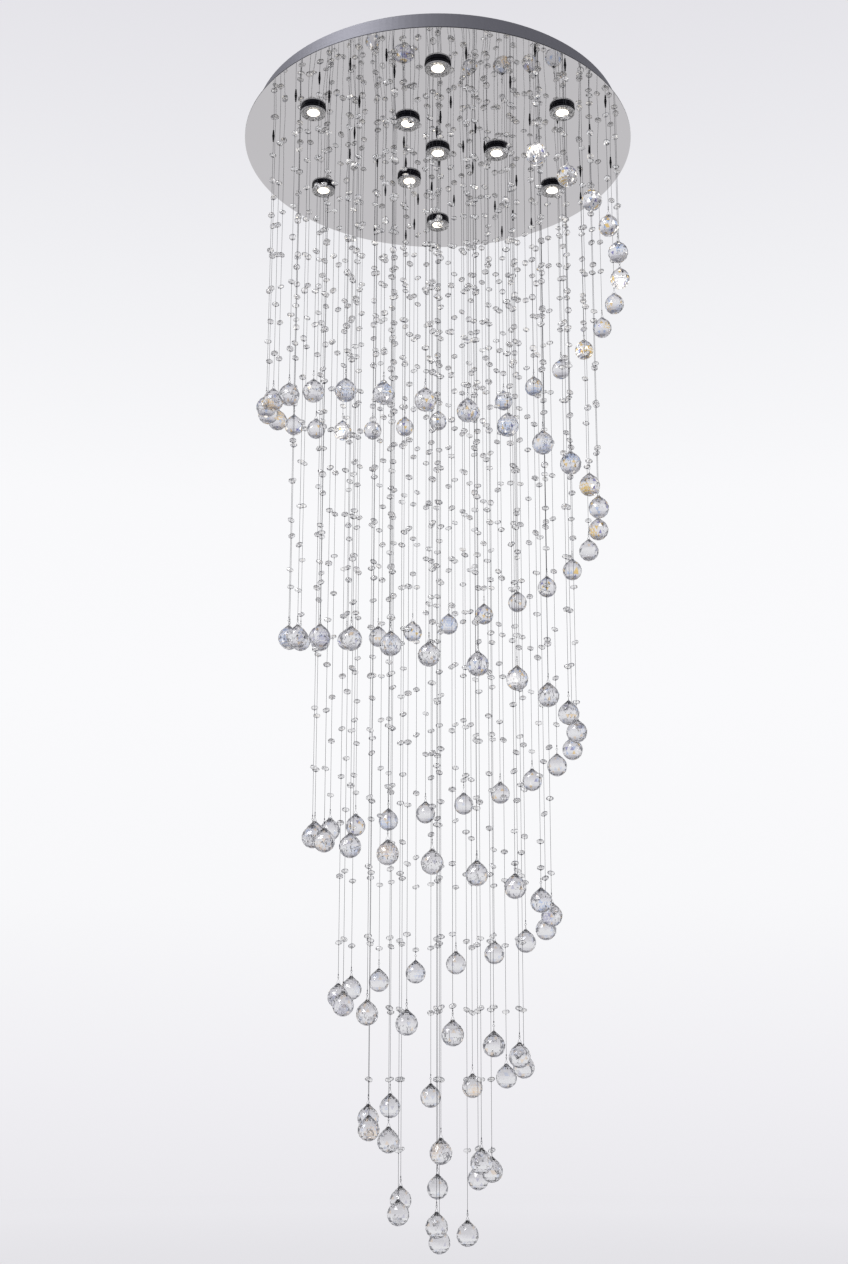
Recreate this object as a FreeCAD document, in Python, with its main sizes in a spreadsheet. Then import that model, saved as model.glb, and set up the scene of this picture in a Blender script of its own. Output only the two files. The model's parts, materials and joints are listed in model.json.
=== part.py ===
import FreeCAD, Part
import Sketcher
import math
import os

# A round ceiling chandelier. A back plate is screwed to the ceiling. It carries a drum, a round mirror plate
# and ten twist-in lamps. Fine wires hang from the mirror plate on a spiral that winds inwards, each wire a
# little longer than the one before, and each ends in a faceted crystal ball. The origin is on the ceiling, at
# the centre of the back plate's top face, and everything hangs below it. Sizes are in millimetres and degrees.

SIZES = {
    # canopy
    "plate_radius": 400,
    "plate_thickness": 2,
    "plate_overhang": 22,
    "drum_wall": 1.5,
    "back_plate_gap": 26.5,
    "back_plate_thickness": 3,
    "ceiling_hole_inset": 100,
    "ceiling_hole_radius": 3.5,
    "ceiling_hole_angle": 45,
    "supply_hole_radius": 8,
    "supply_hole_x": 50,
    "supply_hole_y": 50,
    "spacer_inset": 150,
    "spacer_radius": 6,
    "terminal_length": 44,
    "terminal_width": 22,
    "terminal_height": 16,
    "terminal_x": 30,
    "terminal_y": -62,
    "terminal_slot_width": 8,
    "terminal_slot_depth": 7,
    # lamps
    "outer_lamp_inset": 113,
    "inner_lamp_circle": 123,
    "lamp_radius": 25,
    "lamp_drop": 13,
    "lamp_hole_clearance": 0.4,
    "lens_inset": 6,
    "lens_thickness": 2,
    "bezel_height": 9,
    "reflector_taper": 1.5,
    "reflector_height": 20,
    "neck_radius": 14,
    "lamp_shoulder": 38,
    "lamp_base_radius": 11.3,
    "lamp_base_height": 10,
    "pin_radius": 2.4,
    "pin_length": 6,
    "pin_spread": 5,
    "pin_clearance": 2,
    "socket_wall": 3.4,
    "socket_clearance": 0.4,
    # the spiral of wires
    "strand_edge_margin": 21.5,
    "spiral_inner_radius": 39.8,
    "spiral_turns": 6.408,
    "spiral_start_angle": -61.05,
    "spacing_growth_ratio": 0.001,
    "strand_count": 109,
    "first_drop": 219,
    "drop_step": 18.11,
    "lamp_wire_gap": 3.5,
    # wires, balls and beads
    "wire_radius": 0.35,
    "wire_clearance": 0.05,
    "ball_radius": 20,
    "ball_tip": 29,
    "bead_radius": 7,
    "bead_thickness": 7,
    "bead_bore_clearance": 0.55,
    "bead_pitch": 124,
    "bead_first_drop": 1516,
}

FREE_STRANDS = 5
TIERS = 6
OUTER_LAMPS = 6
INNER_LAMPS = 3
SPACERS = 4
CEILING_HOLES = 4
TERMINAL_SLOTS = 3
WIRE_SIDES = 3
PIN_SIDES = 4
BALL_SIDES = 8
BEAD_SIDES = 4
LAMP_SIDES = 10
SOCKET_SIDES = 6
OUTER_LAMP_START = -90
INNER_LAMP_START = 0

# The canopy is as deep as the lamps need, from the ceiling to the mirror plate's lower face.
LAMP_HEIGHT = "(Dims.lamp_shoulder + Dims.lamp_base_height + Dims.pin_length)"
CANOPY_DEPTH = f"({LAMP_HEIGHT} + Dims.pin_clearance + Dims.back_plate_thickness - Dims.lamp_drop)"
DRUM_HEIGHT = f"({CANOPY_DEPTH} - Dims.plate_thickness)"
LAMP_BOTTOM = f"(-{CANOPY_DEPTH} - Dims.lamp_drop)"
DRUM_RADIUS = "(Dims.plate_radius - Dims.plate_overhang)"
OUTER_LAMP_CIRCLE = "(Dims.plate_radius - Dims.outer_lamp_inset)"
BACK_PLATE_RADIUS = f"({DRUM_RADIUS} - Dims.drum_wall - Dims.back_plate_gap)"
CEILING_HOLE_CIRCLE = f"({BACK_PLATE_RADIUS} - Dims.ceiling_hole_inset)"
SOCKET_DEPTH = "(Dims.lamp_base_height + Dims.pin_length + Dims.pin_clearance)"

doc = FreeCAD.newDocument("Chandelier")
sheet = doc.addObject("Spreadsheet::Sheet", "Dims")
for row, (alias, value) in enumerate(SIZES.items(), start=1):
    sheet.set(f"A{row}", alias)
    sheet.set(f"B{row}", str(value))
    sheet.setAlias(f"B{row}", alias)
doc.recompute()

subparts = []


def size(alias):
    return float(sheet.get(alias))


def plan_radius(*insets):
    """A radius in plan, measured inwards from the mirror plate's rim."""
    return size("plate_radius") - sum(size(inset) for inset in insets)


def bind(target, **expressions):
    """Tie properties to the sheet; x, y and z stand for the object's place."""
    for name, expression in expressions.items():
        path = f".Placement.Base.{name}" if name in "xyz" else name
        target.setExpression(path, expression)
    return target


def subpart(target, label):
    """Give a finished piece its own name, which also names its file."""
    target.Label = label
    subparts.append(target)
    return target


def copy_at(master, x, y, z):
    """A linked copy of a piece, set at a place in plan and at a bound height."""
    link = doc.addObject("App::Link", "Copy")
    link.LinkedObject = master
    link.Placement.Base = FreeCAD.Vector(x, y, 0)
    return bind(link, z=z)


def group(label, members):
    compound = doc.addObject("Part::Compound", label)
    compound.Links = members
    return subpart(compound, label)


def polar(radius, angle):
    return radius * math.cos(math.radians(angle)), radius * math.sin(math.radians(angle))


def prism(name, sides, radius, height, **place):
    body = doc.addObject("Part::Prism", name)
    body.Polygon = sides
    return bind(body, Circumradius=radius, Height=height, **place)


def faceted(name, sides, rings, bored=False):
    """A solid of flat facets between level rings, each given as its radius and height; radius 0 is a point.
    A bored one has no end faces: its last ring joins its first along the bore."""
    def corners(radius, height):
        turns = [360 * k / sides for k in range(sides if radius else 1)]
        return [FreeCAD.Vector(*polar(radius, turn), height) for turn in turns]

    def facet(points):
        return Part.Face(Part.makePolygon([*points, points[0]]))

    levels = [corners(*ring) for ring in rings]
    faces = [facet(level) for level in (levels[0], levels[-1]) if len(level) > 1 and not bored]
    for lower, upper in zip(levels, levels[1:] + (levels[:1] if bored else [])):
        for k in range(sides):
            pairs = [(lower, k), (lower, k + 1), (upper, k + 1), (upper, k)]
            points = [level[step % len(level)] for level, step in pairs]
            faces.append(facet(list(dict.fromkeys(map(tuple, points)))))
    solid = Part.makeSolid(Part.makeShell(faces))
    solid.fix(1e-6, 1e-6, 1e-6)
    if solid.Volume < 0:
        solid.reverse()
    piece = doc.addObject("Part::Feature", name)
    piece.Shape = solid
    return piece


def origin_plane(body, role):
    return next(item for item in body.Origin.OriginFeatures if item.Role == role)


def hole_sketch(body, name, radius, x, y, z):
    """One circle on a level plane of the body, its radius, centre and height bound to the sheet."""
    sketch = body.newObject("Sketcher::SketchObject", name)
    sketch.AttachmentSupport = [(origin_plane(body, "XY_Plane"), "")]
    sketch.MapMode = "FlatFace"
    sketch.setExpression(".AttachmentOffset.Base.z", z)
    circle = sketch.addGeometry(Part.Circle(FreeCAD.Vector(1, 1, 0), FreeCAD.Vector(0, 0, 1), 1))
    sketch.addConstraint(Sketcher.Constraint("Radius", circle, 1))
    sketch.addConstraint(Sketcher.Constraint("DistanceX", -1, 1, circle, 3, 1))
    sketch.addConstraint(Sketcher.Constraint("DistanceY", -1, 1, circle, 3, 1))
    for index, expression in enumerate((radius, x, y)):
        sketch.setExpression(f"Constraints[{index}]", expression)
    return sketch


def pad(body, sketch, length):
    feature = body.newObject("PartDesign::Pad", "Pad")
    feature.Profile = sketch
    return bind(feature, Length=length)


def drill(body, sketch, depth, count=1):
    """Cut a round hole upwards from its sketch, then repeat it around the body's axis."""
    hole = body.newObject("PartDesign::Pocket", "Hole")
    hole.Profile = sketch
    hole.Reversed = True
    bind(hole, Length=depth)
    if count > 1:
        pattern = body.newObject("PartDesign::PolarPattern", "Ring")
        pattern.Originals = [hole]
        pattern.Axis = (origin_plane(body, "Z_Axis"), [""])
        pattern.Angle = 360
        pattern.Occurrences = count
        body.Tip = pattern
    doc.recompute()


def lamp_places():
    """Plan position of every lamp: the outer ring, the inner ring, then the centre."""
    rings = (
        (plan_radius("outer_lamp_inset"), OUTER_LAMP_START, OUTER_LAMPS),
        (size("inner_lamp_circle"), INNER_LAMP_START, INNER_LAMPS),
    )
    places = [polar(radius, start + 360 * k / count) for radius, start, count in rings for k in range(count)]
    return [*places, (0, 0)]


def strand_angle_and_radius(index):
    """The spiral: equal steps along it, growing slightly, while its radius shrinks evenly with each turn."""
    last = size("strand_count") - 1
    growth = size("spacing_growth_ratio")
    share = (index + growth * index**2 / 2) / (last + growth * last**2 / 2)
    outer = plan_radius("strand_edge_margin")
    inner = size("spiral_inner_radius")
    radius = math.sqrt(outer**2 - (outer**2 - inner**2) * share)
    turned = size("spiral_turns") * 360 * (outer - radius) / (outer - inner)
    return turned, radius


def strand_place(index):
    """Where a wire leaves the mirror plate, moved aside where it would touch a lamp."""
    turned, radius = strand_angle_and_radius(index)
    x, y = polar(radius, size("spiral_start_angle") + turned)
    nearest = size("lamp_radius") + size("lamp_wire_gap")
    for lamp_x, lamp_y in lamp_places():
        away = math.hypot(x - lamp_x, y - lamp_y)
        if away < nearest:
            scale = nearest / away
            x, y = lamp_x + (x - lamp_x) * scale, lamp_y + (y - lamp_y) * scale
    return x, y


def ball_height(index):
    return f"-({CANOPY_DEPTH} + Dims.first_drop + {index} * Dims.drop_step)"


def make_back_plate():
    body = doc.addObject("PartDesign::Body", "BackPlate")
    sketch = body.newObject("Sketcher::SketchObject", "Hexagon")
    sketch.AttachmentSupport = [(origin_plane(body, "XY_Plane"), "")]
    sketch.MapMode = "FlatFace"
    sketch.setExpression(".AttachmentOffset.Base.z", "-Dims.back_plate_thickness")
    reach = plan_radius("plate_overhang", "drum_wall", "back_plate_gap")
    corners = [FreeCAD.Vector(*polar(reach, OUTER_LAMP_START + 60 * k), 0) for k in range(6)]
    for k in range(6):
        sketch.addGeometry(Part.LineSegment(corners[k], corners[(k + 1) % 6]))
    guide = sketch.addGeometry(Part.Circle(FreeCAD.Vector(), FreeCAD.Vector(0, 0, 1), reach), True)
    sketch.addConstraint(Sketcher.Constraint("Coincident", guide, 3, -1, 1))
    for k in range(6):
        sketch.addConstraint(Sketcher.Constraint("Coincident", k, 2, (k + 1) % 6, 1))
        sketch.addConstraint(Sketcher.Constraint("PointOnObject", k, 1, guide))
    for k in range(5):
        sketch.addConstraint(Sketcher.Constraint("Equal", k, k + 1))
    sketch.addConstraint(Sketcher.Constraint("PointOnObject", 0, 1, -2))
    radius = sketch.addConstraint(Sketcher.Constraint("Radius", guide, reach))
    sketch.setExpression(f"Constraints[{radius}]", BACK_PLATE_RADIUS)
    pad(body, sketch, "Dims.back_plate_thickness")
    doc.recompute()
    screw_x = f"{CEILING_HOLE_CIRCLE} * cos(Dims.ceiling_hole_angle)"
    screw_y = f"{CEILING_HOLE_CIRCLE} * sin(Dims.ceiling_hole_angle)"
    below = "-Dims.back_plate_thickness"
    screws = hole_sketch(body, "CeilingHole", "Dims.ceiling_hole_radius", screw_x, screw_y, below)
    drill(body, screws, "Dims.back_plate_thickness", CEILING_HOLES)
    supply_place = ("Dims.supply_hole_x", "Dims.supply_hole_y", below)
    entry = hole_sketch(body, "SupplyHole", "Dims.supply_hole_radius", *supply_place)
    drill(body, entry, "Dims.back_plate_thickness")
    subpart(body, "back_plate")


def make_mirror_plate():
    body = doc.addObject("PartDesign::Body", "MirrorPlate")
    below = f"-{CANOPY_DEPTH}"
    pad(body, hole_sketch(body, "Rim", "Dims.plate_radius", "0", "0", below), "Dims.plate_thickness")
    doc.recompute()
    opening = "Dims.lamp_radius + Dims.lamp_hole_clearance"
    outer = hole_sketch(body, "OuterLampHole", opening, "0", f"-{OUTER_LAMP_CIRCLE}", below)
    drill(body, outer, "Dims.plate_thickness", OUTER_LAMPS)
    inner = hole_sketch(body, "InnerLampHole", opening, "Dims.inner_lamp_circle", "0", below)
    drill(body, inner, "Dims.plate_thickness", INNER_LAMPS)
    drill(body, hole_sketch(body, "CentreLampHole", opening, "0", "0", below), "Dims.plate_thickness")
    subpart(body, "mirror_plate")


def make_drum():
    rims = []
    for name, radius in (("DrumOutside", DRUM_RADIUS), ("DrumInside", f"{DRUM_RADIUS} - Dims.drum_wall")):
        rim = doc.addObject("Part::Cylinder", name)
        rims.append(bind(rim, Radius=radius, Height=DRUM_HEIGHT, z=f"-{DRUM_HEIGHT}"))
    drum = doc.addObject("Part::Cut", "Drum")
    drum.Base, drum.Tool = rims
    subpart(drum, "housing_drum")


def make_spacers():
    height = f"{DRUM_HEIGHT} - Dims.back_plate_thickness"
    spacer = prism("Spacer", 6, "Dims.spacer_radius", height)
    circle = plan_radius("plate_overhang", "drum_wall", "back_plate_gap", "spacer_inset")
    places = [polar(circle, size("ceiling_hole_angle") + 360 * k / SPACERS) for k in range(SPACERS)]
    group("spacers", [copy_at(spacer, x, y, f"-{DRUM_HEIGHT}") for x, y in places])


def make_terminal_block():
    block = doc.addObject("Part::Box", "TerminalBlock")
    bottom = "-Dims.back_plate_thickness - Dims.terminal_height"
    bind(block, Length="Dims.terminal_length", Width="Dims.terminal_width", Height="Dims.terminal_height")
    bind(block, x="Dims.terminal_x", y="Dims.terminal_y", z=bottom)
    slots = []
    for k in range(TERMINAL_SLOTS):
        slot = doc.addObject("Part::Box", "TerminalSlot")
        middle = f"Dims.terminal_x + Dims.terminal_length * {2 * k + 1} / {2 * TERMINAL_SLOTS}"
        bind(slot, Length="Dims.terminal_slot_width", Width="Dims.terminal_width")
        bind(slot, Height="Dims.terminal_slot_depth", z=bottom)
        slots.append(bind(slot, x=f"{middle} - Dims.terminal_slot_width / 2", y="Dims.terminal_y"))
    channels = doc.addObject("Part::MultiFuse", "TerminalSlots")
    channels.Shapes = slots
    cut = doc.addObject("Part::Cut", "Terminals")
    cut.Base, cut.Tool = block, channels
    subpart(cut, "terminal_block")


def make_sockets():
    inside = f"((Dims.lamp_base_radius + Dims.socket_clearance) / cos(180 / {SOCKET_SIDES}))"
    height = SOCKET_DEPTH
    outer = prism("SocketOutside", SOCKET_SIDES, f"{inside} + Dims.socket_wall", height)
    cavity = prism("SocketCavity", SOCKET_SIDES, inside, f"{height} - Dims.pin_clearance / 2")
    socket = doc.addObject("Part::Cut", "Socket")
    socket.Base, socket.Tool = outer, cavity
    bottom = f"-Dims.back_plate_thickness - {height}"
    group("lamp_sockets", [copy_at(socket, x, y, bottom) for x, y in lamp_places()])


def make_lamps():
    """Each lamp is a faceted reflector housing with two pins, and a lens over its lower face."""
    rings = (
        (size("lamp_radius"), size("lens_thickness")),
        (size("lamp_radius"), size("bezel_height")),
        (size("lamp_radius") - size("reflector_taper"), size("reflector_height")),
        (size("neck_radius"), size("lamp_shoulder")),
    )
    reflector = faceted("Reflector", LAMP_SIDES, rings)
    base_height = "Dims.lamp_base_height"
    base = prism("LampBase", LAMP_SIDES, "Dims.lamp_base_radius", base_height, z="Dims.lamp_shoulder")
    above = "Dims.lamp_shoulder + Dims.lamp_base_height"
    pins = [
        prism("Pin", PIN_SIDES, "Dims.pin_radius", "Dims.pin_length", x=f"{side} * Dims.pin_spread", z=above)
        for side in (-1, 1)
    ]
    housing = doc.addObject("Part::MultiFuse", "LampHousing")
    housing.Shapes = [reflector, base, *pins]
    lens = prism("Lens", LAMP_SIDES, "Dims.lamp_radius - Dims.lens_inset", "Dims.lens_thickness")
    for number, (x, y) in enumerate(lamp_places(), start=1):
        group(f"lamp_{number}", [copy_at(housing, x, y, LAMP_BOTTOM)])
        group(f"lens_{number}", [copy_at(lens, x, y, LAMP_BOTTOM)])


def make_ball():
    """A cut crystal ball that runs up to a point, where its wire holds it."""
    radius = size("ball_radius")
    shoulder = radius * math.sin(math.radians(45))
    rings = ((0, -radius), (shoulder, -shoulder), (radius, 0), (shoulder, shoulder), (0, size("ball_tip")))
    return faceted("Ball", BALL_SIDES, rings)


def make_bead():
    """A cut crystal disc with two bevelled faces, bored through for its wire."""
    half = size("bead_thickness") / 2
    bore = size("wire_radius") + size("bead_bore_clearance")
    return faceted("Bead", BEAD_SIDES, ((bore, -half), (size("bead_radius"), 0), (bore, half)), bored=True)


def bead_heights(index):
    """The common levels at which a wire carries a bead, from the first down to just above its ball."""
    reach = size("first_drop") + index * size("drop_step") - size("ball_tip") - size("bead_thickness")
    levels = int((reach - size("bead_first_drop")) // size("bead_pitch")) + 1
    first = f"{CANOPY_DEPTH} + Dims.bead_first_drop"
    return [f"-({first} + {level} * Dims.bead_pitch)" for level in range(levels)]


def make_wire(index):
    x, y = strand_place(index)
    length = f"(Dims.first_drop + {index} * Dims.drop_step - Dims.ball_tip - 2 * Dims.wire_clearance)"
    top = f"(-{CANOPY_DEPTH} - Dims.wire_clearance)"
    wire = prism("Wire", WIRE_SIDES, "Dims.wire_radius", length, z=f"{top} - {length}")
    wire.Placement.Base.x = x
    wire.Placement.Base.y = y
    return wire


def make_hanging_strands():
    """The wires, balls and beads in tiers along the spiral, and the innermost strands each by itself."""
    ball = make_ball()
    bead = make_bead()
    count = round(size("strand_count"))
    fixed = count - FREE_STRANDS
    whole_turn = strand_angle_and_radius(fixed)[0]
    families = {f"tier_{number}": [] for number in range(1, TIERS + 1)}
    for index in range(fixed):
        turned = strand_angle_and_radius(index)[0]
        families[f"tier_{1 + int(TIERS * turned / whole_turn)}"].append(index)
    for name, indices in families.items():
        make_strands(indices, f"wires_{name}", f"balls_{name}", f"beads_{name}", ball, bead)
    for number, index in enumerate(range(fixed, count), start=1):
        name = f"strand_{number}"
        make_strands([index], f"{name}_wire", f"{name}_ball", f"{name}_beads", ball, bead)


def make_strands(indices, wires_label, balls_label, beads_label, ball, bead):
    """The wires, the balls and, where the wires reach that far, the beads of some neighbouring strands."""
    group(wires_label, [make_wire(index) for index in indices])
    group(balls_label, [copy_at(ball, *strand_place(index), ball_height(index)) for index in indices])
    beads = [
        copy_at(bead, *strand_place(index), height) for index in indices for height in bead_heights(index)
    ]
    if beads:
        group(beads_label, beads)


def check_and_write():
    """Stop on any object that failed to build, then write each sub-part to its own file."""
    doc.recompute()
    for item in doc.Objects:
        if {"Invalid", "Error"} & set(item.State):
            raise RuntimeError(f"{item.Label} failed: {item.State}")
    os.makedirs("parts", exist_ok=True)
    for item in subparts:
        shape = item.Shape
        if shape.isNull() or not shape.isValid() or not shape.Solids:
            raise RuntimeError(f"{item.Label} has no valid solid")
        shape.exportStep(f"parts/{item.Label}.step")
        print(item.Label, len(shape.Solids), "solids,", round(shape.Volume / 1000, 2), "cm3")


make_back_plate()
make_mirror_plate()
make_drum()
make_spacers()
make_terminal_block()
make_sockets()
make_lamps()
make_hanging_strands()
check_and_write()
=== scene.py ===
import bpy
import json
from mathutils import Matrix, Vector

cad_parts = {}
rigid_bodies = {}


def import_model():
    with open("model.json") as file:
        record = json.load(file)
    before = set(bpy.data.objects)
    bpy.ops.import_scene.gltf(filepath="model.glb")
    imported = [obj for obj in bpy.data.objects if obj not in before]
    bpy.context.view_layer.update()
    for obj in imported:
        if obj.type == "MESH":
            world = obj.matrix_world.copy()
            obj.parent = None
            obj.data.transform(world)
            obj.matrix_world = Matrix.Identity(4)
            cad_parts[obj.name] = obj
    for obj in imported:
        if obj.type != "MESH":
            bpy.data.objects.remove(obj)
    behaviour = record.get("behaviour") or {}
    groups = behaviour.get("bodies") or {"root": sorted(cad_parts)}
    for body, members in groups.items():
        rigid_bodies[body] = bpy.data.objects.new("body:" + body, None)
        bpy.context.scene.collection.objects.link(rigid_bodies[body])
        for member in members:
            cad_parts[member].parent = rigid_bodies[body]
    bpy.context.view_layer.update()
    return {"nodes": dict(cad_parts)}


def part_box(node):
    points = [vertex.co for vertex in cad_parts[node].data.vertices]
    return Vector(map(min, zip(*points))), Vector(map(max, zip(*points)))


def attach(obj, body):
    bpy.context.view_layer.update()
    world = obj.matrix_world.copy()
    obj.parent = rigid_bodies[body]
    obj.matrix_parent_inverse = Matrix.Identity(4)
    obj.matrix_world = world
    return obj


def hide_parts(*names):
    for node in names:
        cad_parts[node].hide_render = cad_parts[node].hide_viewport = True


bl_info = {
    "name": "Crystal Chandelier",
    "version": (1, 0, 0),
    "blender": (4, 5, 0),
    "location": "3D View > Sidebar > Chandelier",
    "description": "Crystal, wires, lamps, polished canopy and a plain studio for a ceiling chandelier",
    "category": "Object",
}

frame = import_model()

import json
import math
import random
from collections import namedtuple

import bmesh
import bpy
from mathutils import Matrix, Vector

MM = 0.001

# One wire with its ball: the body it hangs on, its place in plan and the height of its ball's centre.
Strand = namedtuple("Strand", "body x y ball")

PLATE_LOW, PLATE_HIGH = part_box("mirror_plate")
PLATE_RADIUS = min(*PLATE_HIGH.xy, *-PLATE_LOW.xy)
DRUM_LOW, DRUM_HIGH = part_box("housing_drum")
LAMP_NUMBERS = range(1, 11)
STRAND_BODIES = ["canopy", *(f"strand_{k}" for k in range(1, 6))]
TIERS = range(1, 7)
BEADED_TIERS = range(4, 7)


# ---- small helpers ----


def linear(hex_colour):
    """An sRGB hex colour as the linear red, green, blue and alpha that shaders take."""
    levels = [int(hex_colour[k:k + 2], 16) / 255 for k in (1, 3, 5)]
    return (*(c / 12.92 if c <= 0.04045 else ((c + 0.055) / 1.055) ** 2.4 for c in levels), 1.0)


def add_node(tree, kind, inputs=None, **settings):
    """Add one node, set its properties, and set or link its inputs by name or number."""
    node = tree.nodes.new(kind)
    for name, value in settings.items():
        setattr(node, name, value)
    for socket, value in (inputs or {}).items():
        if isinstance(value, bpy.types.NodeSocket):
            tree.links.new(value, node.inputs[socket])
        else:
            node.inputs[socket].default_value = value
    return node


def set_ramp(ramp, stops, interpolation="LINEAR"):
    """Fill a colour ramp with (position, hex colour) stops."""
    ramp.interpolation = interpolation
    elements = ramp.elements
    while len(elements) < len(stops):
        elements.new(1.0)
    for element, (position, colour) in zip(elements, stops):
        element.position = position
        element.color = linear(colour)


def add_object(name, data):
    """A new object in the scene."""
    piece = bpy.data.objects.new(name, data)
    bpy.context.scene.collection.objects.link(piece)
    return piece


def mesh_object(name, build, materials, smooth=False):
    """An object whose mesh one function draws in a bmesh, with its faces turned outwards."""
    work = bmesh.new()
    build(work)
    bmesh.ops.recalc_face_normals(work, faces=work.faces)
    mesh = bpy.data.meshes.new(name)
    work.to_mesh(mesh)
    work.free()
    for material in materials:
        mesh.materials.append(material)
    if smooth:
        mesh.shade_smooth()
    return add_object(name, mesh)


def plain_mesh(holder):
    """The mesh that an object's curve or modifiers make; the object itself is removed."""
    depsgraph = bpy.context.evaluated_depsgraph_get()
    mesh = bpy.data.meshes.new_from_object(holder.evaluated_get(depsgraph), depsgraph=depsgraph)
    holder.modifiers.clear()
    bpy.data.objects.remove(holder)
    return mesh


def finish_piece(piece, body, slot, *nodes):
    """Say which body carries a piece and which CAD nodes it stands in for. The slot, what it is made for, is
    not used.
    """
    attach(piece, body)
    if nodes:
        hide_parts(*nodes)


def dress(node, material):
    """Give a kept CAD node a new finish."""
    mesh = frame["nodes"][node].data
    mesh.materials.clear()
    mesh.materials.append(material)


# ---- what the frame holds ----


def strand_nodes(body, kind, single, tiers=TIERS):
    """The CAD nodes that hold a body's wires, balls or beads: by tier on the canopy, else one."""
    return [f"{kind}_tier_{k}" for k in tiers] if body == "canopy" else [f"{body}_{single}"]


def solids_of(node):
    """The lowest and highest corner of every separate solid in a CAD node."""
    work = bmesh.new()
    work.from_mesh(frame["nodes"][node].data)
    bmesh.ops.remove_doubles(work, verts=work.verts, dist=0.01 * MM)
    left = set(work.verts)
    corners = []
    while left:
        front = [left.pop()]
        found = []
        while front:
            vert = front.pop()
            found.append(vert.co.copy())
            for edge in vert.link_edges:
                other = edge.other_vert(vert)
                if other in left:
                    left.remove(other)
                    front.append(other)
        low = Vector(min(co[k] for co in found) for k in range(3))
        high = Vector(max(co[k] for co in found) for k in range(3))
        corners.append((low, high))
    work.free()
    return corners


def strands_by_body(ball_radius):
    """Each body's strands, read from the CAD balls, with the highest ball first."""
    strands = []
    for body in STRAND_BODIES:
        for node in strand_nodes(body, "balls", "ball"):
            for low, high in solids_of(node):
                middle = (low + high) / 2
                strands.append(Strand(body, middle.x, middle.y, low.z + ball_radius))
    groups = {}
    for strand in sorted(strands, key=lambda strand: -strand.ball):
        groups.setdefault(strand.body, []).append(strand)
    return groups


# ---- settings a user would change ----


def length(name, description, millimetres):
    """A size, with its default in millimetres."""
    return bpy.props.FloatProperty(
        name=name, description=description, default=millimetres * MM, precision=5, unit="LENGTH"
    )


def colour(name, description, hex_colour):
    """A colour, with its default in sRGB hex."""
    return bpy.props.FloatVectorProperty(
        name=name, description=description, default=linear(hex_colour)[:3], subtype="COLOR", min=0, max=1
    )


def level(name, description, default, unit="NONE"):
    """A brightness, or a light's power in watts."""
    return bpy.props.FloatProperty(name=name, description=description, default=default, unit=unit)


def count(name, description, default):
    """A number of sides or steps around a piece."""
    return bpy.props.IntProperty(name=name, description=description, default=default, min=3)


class CrystalSettings(bpy.types.PropertyGroup):
    """Balls and beads."""

    ball_radius: length("Ball radius", "Radius of each ball at its widest", 20)
    ball_tip: length("Ball tip", "Height of a ball's tip above its centre", 26.5)
    ball_sides: count("Ball sides", "Facets around a ball", 16)
    bead_radius: length("Bead radius", "Radius of each bead at its girdle", 7)
    bead_thickness: length("Bead thickness", "Thickness of each bead along its wire", 7)
    bead_bore: length("Bead bore", "Radius of the hole through a bead", 0.9)
    bead_sides: count("Bead sides", "Facets around a bead", 8)
    bead_tilt: bpy.props.FloatProperty(
        name="Bead tilt", description="How far a bead may lean on its wire",
        default=math.radians(24), subtype="ANGLE", unit="ROTATION",
    )
    bead_pitch: length("Bead pitch", "About the widest step from bead to bead", 124)
    seed: bpy.props.IntProperty(name="Seed", description="Starts the random draws of the crystal", default=7)
    ball_clear: colour("Clear ball", "What a ball lets through face on", "#E7E7E7")
    bead_clear: colour("Clear bead", "What a bead lets through face on", "#F8F8F7")
    # Painted shade: these dark tints stand in for the dark that turned facets of a ball or a bead reflect and
    # bend in.
    ball_painted_shade: colour("Dark ball facets", "What a ball's facet lets through where it turns away", "#505158")
    bead_painted_shade: colour("Dark bead facets", "The same on a bead", "#505157")


class WireSettings(bpy.types.PropertyGroup):
    """Wires and the small parts that hold the crystal."""

    radius: length("Wire radius", "Half the wire's thickness", 0.35)
    sides: count("Wire sides", "Flats around a wire", 6)
    crimp_radius: length("Crimp radius", "Radius of the sleeves pressed on the wires", 0.9)
    crimp_height: length("Crimp height", "Height of a crimp above its ball's centre", 41)
    ring_radius: length("Ring radius", "Radius of the split ring above a ball", 1.9)
    grip_length: length("Grip length", "Length of the ribbed grip that holds a wire under the plate", 14.4)
    steel: colour("Wire steel", "Colour of the stainless wire", "#3C3D42")


class LampSettings(bpy.types.PropertyGroup):
    """The ten lamps."""

    segments: count("Segments", "Steps around a lamp", 80)
    facets: count("Reflector facets", "Facets around the reflector", 24)
    flute: length("Flute depth", "Depth of the flutes around the bezel", 0.5)
    glow_radius: length("Glow radius", "Radius of the lit centre", 12.5)
    glow: colour("Glow", "Colour of the light", "#FFF6E4")
    strength: level("Strength", "Brightness of the lit centre", 2.6)


class CanopySettings(bpy.types.PropertyGroup):
    """The mirror plate and the drum."""

    segments: count("Segments", "Steps around the plate and the drum", 192)
    mirror: colour("Mirror steel", "Colour of the polished plate", "#D6D5D4")
    # Painted shade: the edge's dark colour stands in for the dark line along the plate's rim.
    edge: colour("Cut edge", "Colour of the plate's cut edge", "#2B2B2F")
    drum: colour("Satin steel", "Colour of the drum", "#6C6C73")


class StudioSettings(bpy.types.PropertyGroup):
    """Lights and surroundings."""

    key_power: level("Key light", "Power of the large soft light on the left", 150, "POWER")
    fill_power: level("Fill light", "Power of the soft light on the right", 9, "POWER")
    ambient: level("Ambient", "Level of the light from all around", 0.55)
    ambient_colour: colour("Ambient colour", "Colour of the light from all around", "#FAFAFC")
    floor_height: length("Floor height", "Height of the floor, measured from the ceiling", -2760)
    floor_radius: length("Floor radius", "Radius of the round floor", 9000)
    floor_colour: colour("Floor", "Colour of the floor", "#E8E7EB")


# ---- materials ----


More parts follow.
